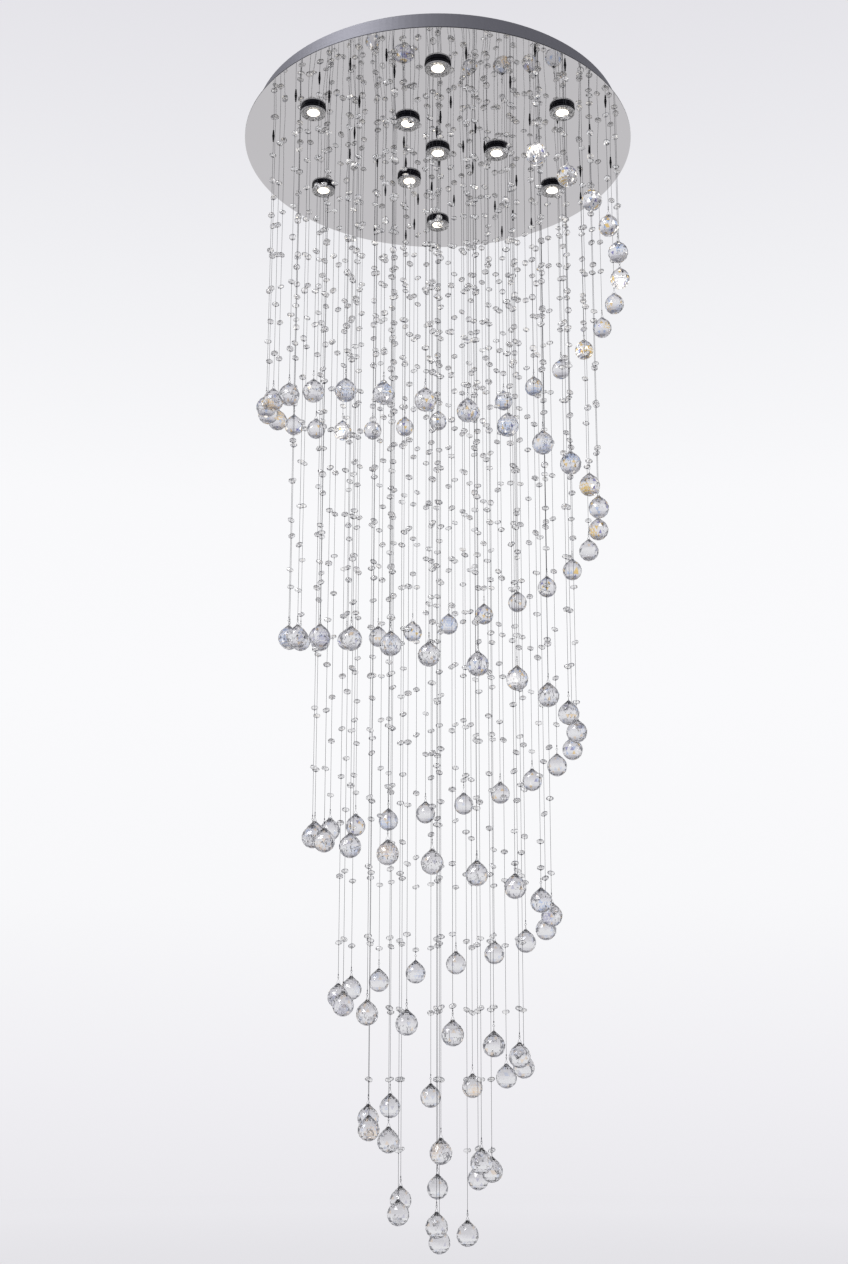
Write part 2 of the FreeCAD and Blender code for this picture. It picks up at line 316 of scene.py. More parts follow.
def new_material(name):
    """An empty node material, its tree and its output node."""
    material = bpy.data.materials.new(name)
    material.use_nodes = True
    tree = material.node_tree
    tree.nodes.clear()
    return material, tree, add_node(tree, "ShaderNodeOutputMaterial")


def grain(tree, across, detail, high=None):
    """A noise fixed to its piece, with clouds so many millimetres across and, where given, so many high."""
    place = add_node(tree, "ShaderNodeTexCoord").outputs["Object"]
    scale = [1 / (size * MM) for size in (across, across, high or across)]
    sized = add_node(tree, "ShaderNodeMapping", {"Vector": place, "Scale": scale})
    noise = add_node(tree, "ShaderNodeTexNoise", {"Vector": sized.outputs[0], "Scale": 1.0, "Detail": detail})
    return noise.outputs[0]


def close_material(tree, output, pattern, roughness, shading, relief=0.0):
    """End a material: a pattern moves its roughness between two values and gives a relief in millimetres."""
    smoothest, roughest = roughness
    rough = add_node(tree, "ShaderNodeMapRange", {"Value": pattern, "To Min": smoothest, "To Max": roughest})
    inputs = {**shading, "Roughness": rough.outputs[0]}
    if relief:
        raised = add_node(tree, "ShaderNodeBump", {"Height": pattern, "Distance": relief * MM})
        inputs["Normal"] = raised.outputs[0]
    shader = add_node(tree, "ShaderNodeBsdfPrincipled", inputs)
    tree.links.new(shader.outputs[0], output.inputs["Surface"])


def crystal_glass(name, clear, dark, *, first_shade, scatter, painted_pole_light, painted_flash, painted_glint):
    """Lead-free crystal, cut and polished, with light and shade painted into its tint. A facet is clear where
    it faces the eye. From a set facing on, as it turns away, it takes a painted shade that stands in for the
    dark it reflects and bends in. Scatter, from 0 to 1, leaves this to chance, so that dark and clear facets
    lie side by side, and the tip and the underside get painted light. The flash argument is how strongly
    facets are painted with orange, blue and violet flashes of broken lamp light, and the glint argument is
    how brightly a few of them glow as painted glints of a lamp. Both are strongest high up, and some pieces
    have more of them than others."""
    material, tree, output = new_material(name)
    facet = add_node(tree, "ShaderNodeAttribute", attribute_name="facet").outputs["Fac"]
    piece = add_node(tree, "ShaderNodeAttribute", attribute_name="piece").outputs["Fac"]
    place = add_node(tree, "ShaderNodeTexCoord").outputs["Object"]
    height = add_node(tree, "ShaderNodeSeparateXYZ", {0: place}).outputs["Z"]

    # Painted shade: facets darken as they turn from the eye, and the tip and the underside are painted
    # lighter.
    softness = 0.08
    facing = add_node(tree, "ShaderNodeLayerWeight", {"Blend": 0.5}).outputs["Facing"]
    normal = add_node(tree, "ShaderNodeNewGeometry").outputs["True Normal"]
    upward = add_node(tree, "ShaderNodeSeparateXYZ", {0: normal}).outputs["Z"]
    slope = add_node(tree, "ShaderNodeMath", {0: upward}, operation="ABSOLUTE")
    turned = add_node(
        tree, "ShaderNodeMath", {0: slope.outputs[0], 1: -painted_pole_light, 2: facing}, operation="MULTIPLY_ADD"
    )
    chance = add_node(tree, "ShaderNodeMix", {"Factor": scatter, 2: turned.outputs[0], 3: facet})
    painted_darkness = add_node(
        tree, "ShaderNodeMapRange",
        {"Value": chance.outputs[0], "From Min": first_shade, "From Max": first_shade + softness},
    )

    # Painted coloured flashes of broken lamp light, stronger high up near the lamps: the height in metres,
    # with a lucky piece counted as up to 1.3 m higher.
    luck, dull_height, lively_height, least_share = 1.3, -1.0, 0.1, 0.45
    painted_fire = add_node(tree, "ShaderNodeValToRGB", {"Fac": facet})
    colours = [
        (0.0, "#FBFBFD"), (0.20, "#FFC050"), (0.245, "#FBFBFD"), (0.42, "#A8C4FA"), (0.465, "#FCFCFF"),
        (0.70, "#5E5CA8"), (0.72, "#FCFCFF"),
    ]
    set_ramp(painted_fire.color_ramp, colours, "CONSTANT")
    lifted = add_node(tree, "ShaderNodeMath", {0: piece, 1: luck, 2: height}, operation="MULTIPLY_ADD")
    painted_flash_share = add_node(
        tree, "ShaderNodeMapRange",
        {
            "Value": lifted.outputs[0], "From Min": dull_height, "From Max": lively_height,
            "To Min": least_share * painted_flash, "To Max": painted_flash,
        },
    )
    lit = add_node(
        tree, "ShaderNodeMix", {"Factor": painted_flash_share.outputs[0], 6: (*clear, 1), 7: painted_fire.outputs["Color"]},
        data_type="RGBA", blend_type="MULTIPLY",
    )
    tint = add_node(
        tree, "ShaderNodeMix", {"Factor": painted_darkness.outputs[0], 6: lit.outputs[2], 7: (*dark, 1)},
        data_type="RGBA",
    )

    # Painted glints: a few facets glow as if they mirrored a lamp, down to 1.5 m below the ceiling, and more
    # on a lucky piece.
    piece_share, threshold, last_height, first_height = 0.06, 1.015, -1.5, -0.3
    drawn = add_node(tree, "ShaderNodeMath", {0: piece, 1: piece_share, 2: facet}, operation="MULTIPLY_ADD")
    glinting_facet = add_node(tree, "ShaderNodeMath", {0: drawn.outputs[0], 1: threshold}, operation="GREATER_THAN")
    nearness = add_node(
        tree, "ShaderNodeMapRange",
        {"Value": height, "From Min": last_height, "From Max": first_height, "To Max": painted_glint},
    )
    painted_glint_glow = add_node(
        tree, "ShaderNodeMath", {0: glinting_facet.outputs[0], 1: nearness.outputs[0]}, operation="MULTIPLY"
    )
    glass = add_node(
        tree, "ShaderNodeBsdfPrincipled",
        {
            "Base Color": tint.outputs[2], "Roughness": 0.0, "IOR": 1.55, "Transmission Weight": 1.0,
            "Specular IOR Level": 0.35, "Emission Color": linear("#FFF9EE"),
            "Emission Strength": painted_glint_glow.outputs[0],
        },
    )
    material.cycles.emission_sampling = "NONE"
    tree.links.new(glass.outputs[0], output.inputs["Surface"])
    return material


def wire_steel(settings):
    """Drawn stainless steel wire: a cold grey line with a soft streak of light. Its draw marks would be too
    fine to show, so they are 2.5 mm apart."""
    material, tree, output = new_material("stainless_wire_drawn")
    marks = grain(tree, 2.5, detail=2.0)
    close_material(tree, output, marks, (0.28, 0.42), {"Base Color": (*settings.steel, 1), "Metallic": 1.0})
    return material


def cloudy_finish(name, dark, light, roughness, cloud, relief=0.02, metallic=1.0):
    """A small or hidden part's finish: its colour wanders between two close shades in clouds of so many
    millimetres, and its shine and relief follow them."""
    material, tree, output = new_material(name)
    clouds = grain(tree, cloud, detail=3.0)
    shade = add_node(tree, "ShaderNodeValToRGB", {"Fac": clouds})
    set_ramp(shade.color_ramp, [(0.3, dark), (0.7, light)])
    shading = {"Base Color": shade.outputs["Color"], "Metallic": metallic}
    close_material(tree, output, clouds, (0.8 * roughness, 1.2 * roughness), shading, relief)
    return material


def black_crimp_and_shaded_grip():
    """Blackened crimp sleeves: small dark marks with a faint shine. Made once, for the wires' grips and the
    beads' stops alike. On the grips the black is painted shade that stands in for the dark their chrome
    mirrors.
    """
    name = "crimp_blackened_grip_shaded"
    return bpy.data.materials.get(name) or cloudy_finish(name, "#17171A", "#28282C", 0.35, 1.0)


def mirror_steel(settings):
    """Mirror-polished stainless sheet: it reflects the strands, softly bent because thin sheet is never flat.
    Its waves are about 143 mm long, and its polish varies in patches of 17 mm."""
    material, tree, output = new_material("stainless_sheet_mirror_polished")
    swell = grain(tree, 142.86, detail=0.0)
    waves = add_node(tree, "ShaderNodeBump", {"Height": swell, "Distance": 2.0 * MM})
    polish = grain(tree, 16.7, detail=4.0)
    shading = {"Base Color": (*settings.mirror, 1), "Metallic": 1.0, "Normal": waves.outputs[0]}
    close_material(tree, output, polish, (0.01, 0.03), shading)
    return material


def shaded_cut_edge(settings):
    """The laser-cut edge of the steel sheet: dull, and dark with painted shade that stands in for the dark
    line along the plate's rim, with upright striations from the cut.
    drawn 1.1 mm apart, because the real ones are too fine to show."""
    material, tree, output = new_material("stainless_sheet_laser_cut_shaded")
    streaks = grain(tree, 1.1, detail=2.0, high=25)
    shading = {"Base Color": (*settings.edge, 1), "Metallic": 1.0}
    close_material(tree, output, streaks, (0.4, 0.6), shading, relief=0.03)
    return material


def satin_steel(settings):
    """Stainless strip with a satin grain that runs around the drum: long lines, drawn 0.6 mm apart because
    the real ones are finer still, which spread the light."""
    material, tree, output = new_material("stainless_strip_satin")
    lines = grain(tree, 167, detail=4.0, high=0.625)
    shading = {"Base Color": (*settings.drum, 1), "Metallic": 0.85}
    close_material(tree, output, lines, (0.5, 0.64), shading, relief=0.02)
    return material


def lamp_glow(settings):
    """The lit diffuser of a lamp: frosted glass that glows in an even warm white. Its frost is drawn with
    grains of 2.9 mm, because the real ones are too fine to show."""
    material, tree, output = new_material("frosted_glass_lit")
    frost = grain(tree, 2.9, detail=2.0)
    glow = (*settings.glow, 1)
    shading = {"Base Color": glow, "Emission Color": glow, "Emission Strength": settings.strength}
    close_material(tree, output, frost, (0.4, 0.6), shading)
    return material


# ---- Geometry Nodes ----


def new_tree(name, inputs):
    """A Geometry Nodes tree with named inputs; returns it with the outputs of its input node."""
    tree = bpy.data.node_groups.new(name, "GeometryNodeTree")
    tree.interface.new_socket("Geometry", in_out="INPUT", socket_type="NodeSocketGeometry")
    for label, kind in inputs.items():
        tree.interface.new_socket(label, in_out="INPUT", socket_type=kind)
    tree.interface.new_socket("Geometry", in_out="OUTPUT", socket_type="NodeSocketGeometry")
    return tree, add_node(tree, "NodeGroupInput").outputs


def mark(tree, geometry, name, domain):
    """Store a random number from 0 to 1 on every element."""
    index = add_node(tree, "GeometryNodeInputIndex").outputs[0]
    draw = add_node(tree, "FunctionNodeRandomValue", {"ID": index})
    return add_node(
        tree, "GeometryNodeStoreNamedAttribute",
        {"Geometry": geometry, "Name": name, "Value": draw.outputs["Value"]},
        data_type="FLOAT", domain=domain,
    ).outputs[0]


def close_tree(tree, instances, material):
    """Every tree ends the same way: random numbers on pieces and facets, real geometry, the finish."""
    pieces = mark(tree, instances, "piece", "INSTANCE")
    real = add_node(tree, "GeometryNodeRealizeInstances", {"Geometry": pieces})
    marked = mark(tree, real.outputs[0], "facet", "FACE")
    finish = add_node(tree, "GeometryNodeSetMaterial", {"Geometry": marked, "Material": material})
    add_node(tree, "NodeGroupOutput", {"Geometry": finish.outputs[0]})


def hung_copies_tree():
    """Copies of one shape on every point, each turned about its wire and leaning by a random angle."""
    tree, given = new_tree(
        "Hung copies",
        {
            "Shape": "NodeSocketObject", "Lean": "NodeSocketFloat", "Turn": "NodeSocketFloat",
            "Seed": "NodeSocketInt", "Material": "NodeSocketMaterial",
        },
    )
    lean = given["Lean"]
    shape = add_node(tree, "GeometryNodeObjectInfo", {"Object": given["Shape"]})
    back = add_node(tree, "ShaderNodeMath", {0: lean, 1: -1.0}, operation="MULTIPLY")
    least = add_node(tree, "ShaderNodeCombineXYZ", {"X": back.outputs[0], "Y": back.outputs[0]})
    most = add_node(tree, "ShaderNodeCombineXYZ", {"X": lean, "Y": lean, "Z": given["Turn"]})
    angles = add_node(
        tree, "FunctionNodeRandomValue",
        {"Min": least.outputs[0], "Max": most.outputs[0], "Seed": given["Seed"]}, data_type="FLOAT_VECTOR",
    )
    turn = add_node(tree, "FunctionNodeEulerToRotation", {"Euler": angles.outputs["Value"]})
    copies = add_node(
        tree, "GeometryNodeInstanceOnPoints",
        {"Points": given["Geometry"], "Instance": shape.outputs["Geometry"], "Rotation": turn.outputs[0]},
    )
    close_tree(tree, copies.outputs[0], given["Material"])
    return tree


def wires_tree():
    """A plumb wire at every point, as long as the point's own run says, with the point at its middle."""
    tree, given = new_tree(
        "Plumb wires",
        {"Radius": "NodeSocketFloat", "Sides": "NodeSocketInt", "Material": "NodeSocketMaterial"},
    )
    radius = given["Radius"]
    rod = add_node(
        tree, "GeometryNodeMeshCylinder", {"Vertices": given["Sides"], "Radius": 1.0, "Depth": 1.0}
    )
    run = add_node(tree, "GeometryNodeInputNamedAttribute", {"Name": "run"}, data_type="FLOAT")
    size = add_node(
        tree, "ShaderNodeCombineXYZ", {"X": radius, "Y": radius, "Z": run.outputs["Attribute"]}
    )
    copies = add_node(
        tree, "GeometryNodeInstanceOnPoints",
        {"Points": given["Geometry"], "Instance": rod.outputs["Mesh"], "Scale": size.outputs[0]},
    )
    close_tree(tree, copies.outputs[0], given["Material"])
    return tree


def grow(name, tree, points, values, runs=()):
    """An object with the plain mesh that a tree makes on a set of points; runs are the wires' lengths."""
    cloud = bpy.data.meshes.new(f"{name}_points")
    cloud.from_pydata(points, [], [])
    if runs:
        cloud.attributes.new("run", "FLOAT", "POINT").data.foreach_set("value", runs)
    holder = add_object(f"{name}_points", cloud)
    modifier = holder.modifiers.new("Grow", "NODES")
    modifier.node_group = tree
    for item in tree.interface.items_tree:
        if item.in_out == "INPUT" and item.name in values:
            modifier[item.identifier] = values[item.name]
    mesh = plain_mesh(holder)
    mesh.name = name
    return add_object(name, mesh)


def hang(name, tree, shape, points, seed, turn=math.pi, lean=0.0):
    """Copies of a shape on a set of points, in the shape's own finish."""
    finish = shape.data.materials[0]
    values = {"Shape": shape, "Lean": lean, "Turn": turn, "Seed": seed, "Material": finish}
    return grow(name, tree, points, values)


# ---- rings of points ----


def circle(radius, steps, start=0.0, middle=(0, 0)):
    """Evenly spaced (x, y) points on a circle, the first one turned by so many steps."""
    turns = [2 * math.pi * (k + start) / steps for k in range(steps)]
    return [(middle[0] + radius * math.cos(a), middle[1] + radius * math.sin(a)) for a in turns]


def join_rings(work, rings, material=0, closed=False):
    """Faces between neighbouring rings of points; a ring of one point is a pole."""
    segments = max(len(ring) for ring in rings)
    for lower, upper in zip(rings, rings[1:] + (rings[:1] if closed else [])):
        for k in range(segments):
            corners = [lower[k % len(lower)], lower[(k + 1) % len(lower)]]
            corners += [upper[(k + 1) % len(upper)], upper[k % len(upper)]]
            work.faces.new(list(dict.fromkeys(corners))).material_index = material


def join_staggered(work, rings, material=0):
    """Triangles between rings of points of which every other one is turned by half a step."""
    for number, (lower, upper) in enumerate(zip(rings, rings[1:])):
        for k in range(len(lower)):
            after = (k + 1) % len(lower)
            if number % 2:
                triangles = ((lower[k], upper[after], upper[k]), (lower[k], lower[after], upper[after]))
            else:
                triangles = ((lower[k], lower[after], upper[k]), (lower[after], upper[after], upper[k]))
            for triangle in triangles:
                work.faces.new(triangle).material_index = material


def lathe(work, profile, segments, material=0, middle=(0, 0), closed=False):
    """Turn a profile of (radius, height) points about a vertical axis; radius 0 closes a pole."""
    rings = []
    for radius, height in profile:
        places = circle(radius, segments, middle=middle) if radius else [middle]
        rings.append([work.verts.new((x, y, height)) for x, y in places])
    join_rings(work, rings, material, closed)
    return rings


def tube(work, path, radius, sides, closed=False):
    """A thin bar along a path of points; a closed path makes a ring."""
    last = len(path) - 1
    rings = []
    for k, point in enumerate(path):
        before = path[k - 1] if closed or k else point
        after = path[(k + 1) % len(path)] if closed or k < last else point
        along = (after - before).normalized()
        across = along.cross(Vector((0, 1, 0)) if abs(along.y) < 0.9 else Vector((1, 0, 0))).normalized()
        other = along.cross(across)
        rings.append([work.verts.new(point + u * across + v * other) for u, v in circle(radius, sides, 0.5)])
    join_rings(work, rings, closed=closed)
    if not closed:
        work.faces.new(rings[0][::-1])
        work.faces.new(rings[-1])


# ---- shapes that are hung many times ----


def ball_shape(crystal):
    """A cut ball that draws out into a point at the top, where it is drilled for its wire. Its facets are
    triangles between level rings; both ends are small flats."""
    radius = crystal.ball_radius
    tip = crystal.ball_tip
    latitudes = [math.radians(degrees) for degrees in (-78, -57, -35, -13, 8, 28)]
    profile = [(radius * math.cos(a), radius * math.sin(a)) for a in latitudes]
    shoulder = (0.70 * radius, 0.74 * radius)
    profile += [shoulder, (0.20 * radius, tip - 3.1 * MM), (0.05 * radius, tip - 0.3 * MM)]

    def build(work):
        rings = []
        for number, (ring_radius, height) in enumerate(profile):
            places = circle(ring_radius, crystal.ball_sides, 0.5 * (number % 2))
            rings.append([work.verts.new((x, y, height)) for x, y in places])
        join_staggered(work, rings)
        work.faces.new(rings[0][::-1])
        work.faces.new(rings[-1])

    return build


def bead_shape(crystal):
    """A cut bead with a tall girdle of flat facets between two bevels, bored through for its wire."""
    radius = crystal.bead_radius
    half = crystal.bead_thickness / 2
    upper = [(0.93 * radius, 0.58 * half), (0.60 * radius, half), (crystal.bead_bore, half)]
    profile = [(r, -z) for r, z in reversed(upper)] + [(radius, 0)] + upper
    return lambda work: lathe(work, profile, crystal.bead_sides, closed=True)


def hanger_shape(crystal, wires):
    """What joins a ball to its wire: a wedge of bent wire through the ball's hole, a ring, an eye and a
    crimp."""
    bar, bar_sides, loop_steps, crimp_sides = wires.radius, 4, 8, 6
    hole = crystal.ball_tip - 2.6 * MM
    wedge_reach = 4.4 * MM
    apex = crystal.ball_tip + 6.4 * MM
    hook = 0.4 * MM
    ring_middle = apex + wires.ring_radius - hook
    eye_radius = 1.3 * MM
    eye_middle = ring_middle + wires.ring_radius + eye_radius - 2 * hook
    crimp = wires.crimp_height
    crimp_reach = 1.6 * MM

    def loop(middle, radius, in_x):
        flat = circle(radius, loop_steps)
        return [Vector((u, 0, middle + v) if in_x else (0, u, middle + v)) for u, v in flat]

    def upright(low, high):
        return [Vector((0, 0, low)), Vector((0, 0, high))]

    def build(work):
        wedge = [Vector((-wedge_reach, 0, hole)), Vector((0, 0, apex)), Vector((wedge_reach, 0, hole))]
        tube(work, wedge, bar, bar_sides, closed=True)
        tube(work, loop(ring_middle, wires.ring_radius, in_x=False), bar, bar_sides, closed=True)
        tube(work, loop(eye_middle, eye_radius, in_x=True), bar, bar_sides, closed=True)
        tube(work, upright(crimp - crimp_reach, crimp + crimp_reach), wires.crimp_radius, crimp_sides)
        tube(work, upright(eye_middle + eye_radius, crimp), bar, bar_sides)

    return build


def stop_shape(crystal, wires):
    """The tiny crimp that a bead rests on."""
    stop_length = 1.6 * MM
    top = -crystal.bead_thickness / 2 - 0.2 * MM
    ends = [Vector((0, 0, top - stop_length)), Vector((0, 0, top))]
    return lambda work: tube(work, ends, wires.crimp_radius, 6)


def grip_shape(wires):
    """The ribbed grip under the plate that clamps a wire: four barrels, each a little thinner."""
    barrels = [(2.6, 0.0, 2.2), (2.2, 3.9, 5.9), (1.9, 7.6, 9.5), (1.6, 11.2, 13.0)]
    waist, bevel, drawn_length = 0.6, 0.6, 14.4
    stretch = wires.grip_length / (drawn_length * MM)
    outline = []
    for radius, top, bottom in barrels:
        outline += [(radius, top), (radius, bottom), (waist, bottom + bevel)]
    profile = [(radius * MM, -depth * MM * stretch) for radius, depth in reversed(outline)]
    return lambda work: lathe(work, profile, 6)


# ---- operators, one for each group of pieces ----


class CHANDELIER_OT_canopy(bpy.types.Operator):
    """Polish the mirror plate, brush the drum and finish the parts above them"""

    bl_idname = "chandelier.canopy"
    bl_label = "Finish the canopy"

    def execute(self, context):
        settings = context.scene.chandelier_canopy
        self.make_plate(settings)
        self.make_drum(settings)
        # Hot-dipped zinc has broad grey clouds, and plated zinc finer and warmer ones.
        dress("back_plate", cloudy_finish("galvanised_steel_sheet", "#8E9296", "#A6AAAD", 0.42, 14))
        dress("spacers", cloudy_finish("zinc_plated_steel", "#9B9B98", "#B4B3AE", 0.3, 5))
        # Moulded nylon is a satin off-white, and pressed ceramic a chalky, warmer one.
        dress("terminal_block", cloudy_finish("nylon_moulded", "#DCDAD2", "#E6E4DC", 0.45, 3, metallic=0.0))
        ceramic = cloudy_finish("steatite_ceramic_pressed", "#D8D2C4", "#E6E0D3", 0.55, 1.2, metallic=0.0)
        dress("lamp_sockets", ceramic)
        return {"FINISHED"}

    def make_plate(self, settings):
        """A round sheet with a hole for each lamp and softly rounded edges."""
        edge = 0.3 * MM
        lamp_gap = 0.4 * MM
        lamp_steps = 48
        outline = bpy.data.curves.new("mirror_plate_outline", "CURVE")
        outline.dimensions = "2D"
        outline.fill_mode = "BOTH"
        outline.extrude = (PLATE_HIGH.z - PLATE_LOW.z) / 2 - edge
        outline.bevel_depth = edge
        outline.bevel_resolution = 2
        circles = [((0, 0), PLATE_RADIUS - edge, settings.segments)]
        for number in LAMP_NUMBERS:
            low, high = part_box(f"lamp_{number}")
            middle = (low + high) / 2
            circles.append(((middle.x, middle.y), (high.x - low.x) / 2 + lamp_gap + edge, lamp_steps))
        for middle, radius, steps in circles:
            spline = outline.splines.new("POLY")
            spline.points.add(steps - 1)
            for point, (x, y) in zip(spline.points, circle(radius, steps, middle=middle)):
                point.co = (x, y, 0, 1)
            spline.use_cyclic_u = True
        mesh = plain_mesh(add_object("mirror_plate_outline", outline))
        mesh.transform(Matrix.Translation((0, 0, (PLATE_LOW.z + PLATE_HIGH.z) / 2)))
        mesh.materials.clear()
        mesh.materials.append(mirror_steel(settings))
        mesh.materials.append(shaded_cut_edge(settings))
        for face in mesh.polygons:
            face.material_index = int(abs(face.normal.z) < 0.5)
        finish_piece(add_object("mirror_plate_polished", mesh), "canopy", "mirror", "mirror_plate")

    def make_drum(self, settings):
        """A rolled strip whose outer edges are softened."""
        wall = 1.5 * MM
        soft = 0.4 * MM
        outer = DRUM_HIGH.x
        low, high = DRUM_LOW.z, DRUM_HIGH.z
        profile = [
            (outer - wall, low), (outer - soft, low), (outer, low + soft), (outer, high - soft),
            (outer - soft, high), (outer - wall, high),
        ]
        satin = satin_steel(settings)
        drum = mesh_object(
            "drum_satin", lambda work: lathe(work, profile, settings.segments, closed=True), [satin]
        )
        finish_piece(drum, "canopy", "drum", "housing_drum")


class CHANDELIER_OT_lamps(bpy.types.Operator):
    """Build the ten reflector lamps with their lit centres"""

    bl_idname = "chandelier.lamps"
    bl_label = "Build the lamps"

    black, chrome, metallised = range(3)

    def execute(self, context):
        settings = context.scene.chandelier_lamp
        finishes = [
            # Black anodised aluminium: a deep black with a soft shine.
            cloudy_finish("aluminium_black_anodised", "#141418", "#24242A", 0.22, 6),
            # Chrome-plated brass: bright and nearly flawless.
            cloudy_finish("brass_chrome_plated", "#C9C9CC", "#DADADC", 0.08, 10, relief=0.004),
            # Metallised, faceted reflector: painted reflections, dark and bright spots side by side that
            # stand in for what its facets mirror.
            cloudy_finish("reflector_metallised_painted_reflections", "#2C2C30", "#DEDDDA", 0.16, 2.8, relief=0.05),
        ]
        glow = lamp_glow(settings)
        for number in LAMP_NUMBERS:
            low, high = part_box(f"lamp_{number}")
            middle = (low + high) / 2
            housing = mesh_object(
                f"lamp_{number}_housing",
                lambda work: self.build_housing(work, settings, middle, low, high), finishes,
            )
            finish_piece(housing, f"lamp_{number}", "lamp", f"lamp_{number}")
            lens = mesh_object(
                f"lamp_{number}_lens",
                lambda work: self.build_lens(work, settings, middle, low), [glow], smooth=True,
            )
            finish_piece(lens, f"lamp_{number}", "lens", f"lens_{number}")
        return {"FINISHED"}

    def build_housing(self, work, settings, middle, low, high):
        """Fluted bezel, bright bead and black collar below the plate; reflector cup, base and pins above it.
        Each band is a finish, whether it is fluted, and its (inset, height) points in millimetres."""
        radius = (high.x - low.x) / 2
        bottom = low.z
        axis = (middle.x, middle.y)
        rim_inset, base = 3.0, 48.0
        bands = (
            (self.metallised, False, ((rim_inset, 1.0), (1.6, 0.1), (0.9, 0.3))),
            (self.metallised, True, ((0.9, 0.3), (0.0, 0.9), (0.0, 2.0), (0.5, 2.3))),
            (self.chrome, False, ((0.5, 2.3), (0.0, 2.5), (0.0, 3.5), (0.6, 3.7))),
            (
                self.black, True,
                ((0.6, 3.7), (0.1, 4.1), (0.1, 14.0), (1.5, 20.0), (11.0, 38.0), (13.7, 38.0)),
            ),
            (self.black, False, ((13.7, 38.0), (13.7, base), (25.0, base))),
        )
        for material, fluted, band in bands:
            profile = [(radius - inset * MM, bottom + height * MM) for inset, height in band]
            rings = lathe(work, profile, settings.segments, material, axis)
            if fluted:
                self.flute(rings[1] + rings[2], axis, settings.flute)
        rim = radius - rim_inset * MM
        self.build_reflector(work, settings.facets, axis, bottom, rim, settings.glow_radius)
        pin_radius, pin_offset, bevel = 2.4 * MM, 5 * MM, 0.5 * MM
        pin = [
            (pin_radius, bottom + base * MM), (pin_radius, high.z - bevel), (pin_radius - bevel, high.z),
            (0, high.z),
        ]
        for side in (-pin_offset, pin_offset):
            lathe(work, pin, 12, self.chrome, (middle.x + side, middle.y))
        bmesh.ops.remove_doubles(work, verts=work.verts, dist=0.02 * MM)

    def flute(self, verts, axis, depth):
        """Move every other point of a round band inwards."""
        for vert in verts[::2]:
            inward = Vector((axis[0] - vert.co.x, axis[1] - vert.co.y, 0)).normalized()
            vert.co += depth * inward

    def build_reflector(self, work, facets, axis, bottom, outer, inner):
        """Rows of small facets on a shallow cone between the rim and the lit centre."""
        rows = 4
        rim_height, depth, lift = 1.0 * MM, 2.4 * MM, 0.8 * MM
        rings = []
        for row in range(rows + 1):
            share = row / rows
            height = bottom + rim_height + depth * share
            raised = lift if 0 < row < rows else 0.0
            places = circle(outer + (inner - outer) * share, facets, 0.5 * (row % 2), axis)
            rings.append([
                work.verts.new((x, y, height + raised * (k % 2))) for k, (x, y) in enumerate(places)
            ])
        join_staggered(work, rings, self.metallised)

    def build_lens(self, work, settings, middle, low):
        """A shallow dome of frosted glass, closed behind."""
        steps, segments = 5, 32
        radius = settings.glow_radius
        seat = low.z + 3.4 * MM
        sag = 1.6 * MM
        back = seat + 1.0 * MM
        turns = [math.radians(90 * k / steps) for k in range(steps + 1)]
        profile = [(radius * math.sin(a), seat - sag * math.cos(a)) for a in turns]
        lathe(work, profile + [(radius, back), (0, back)], segments, middle=(middle.x, middle.y))


class CHANDELIER_OT_wires(bpy.types.Operator):
    """Hang the wires, the grips under the plate and the small parts that join each ball to its wire"""

    bl_idname = "chandelier.wires"
    bl_label = "Hang the wires"

    def execute(self, context):
        wires = context.scene.chandelier_wire
        crystal = context.scene.chandelier_crystal
        steel = wire_steel(wires)
        plumb = wires_tree()
        hung = hung_copies_tree()
        hanger = mesh_object("hanger_master", hanger_shape(crystal, wires), [steel])
        # The grips' black finish is painted shade: it stands in for the dark that a chrome grip mirrors.
        grip = mesh_object("grip_master", grip_shape(wires), [black_crimp_and_shaded_grip()])
        draw = random.Random(crystal.seed)
        grip_share = 0.36
        top = PLATE_LOW.z - 0.05 * MM
        for body, strands in strands_by_body(crystal.ball_radius).items():
            ends = [strand.ball + wires.crimp_height for strand in strands]
            points = [(s.x, s.y, (top + end) / 2) for s, end in zip(strands, ends)]
            values = {"Radius": wires.radius, "Sides": wires.sides, "Material": steel}
            piece = grow(f"{body}_wires", plumb, points, values, [top - end for end in ends])
            finish_piece(piece, body, "wire", *strand_nodes(body, "wires", "wire"))
            balls = [(s.x, s.y, s.ball) for s in strands]
            finish_piece(hang(f"{body}_hangers", hung, hanger, balls, seed=3), body, "wire")
            # A strand that is a body by itself always has a grip.
            tops = [(s.x, s.y, top) for s in strands if draw.random() < grip_share or len(strands) == 1]
            finish_piece(hang(f"{body}_grips", hung, grip, tops, seed=5), body, "wire")
        bpy.data.batch_remove([hanger, grip])
        return {"FINISHED"}


class CHANDELIER_OT_balls(bpy.types.Operator):
    """Cut a crystal ball for the end of every wire"""

    bl_idname = "chandelier.balls"
    bl_label = "Cut the balls"

    def execute(self, context):
        crystal = context.scene.chandelier_crystal
        glass = crystal_glass(
            "crystal_ball_cut", crystal.ball_clear, crystal.ball_painted_shade,
            first_shade=0.56, scatter=0.50, painted_pole_light=0.10, painted_flash=1.0, painted_glint=1.2,
        )
        hung = hung_copies_tree()
        ball = mesh_object("ball_master", ball_shape(crystal), [glass])
        for body, strands in strands_by_body(crystal.ball_radius).items():
            points = [(s.x, s.y, s.ball) for s in strands]
            balls = hang(f"{body}_balls", hung, ball, points, crystal.seed, 2 * math.pi)
            finish_piece(balls, body, "ball_crystal", *strand_nodes(body, "balls", "ball"))
        bpy.data.objects.remove(ball)
        return {"FINISHED"}


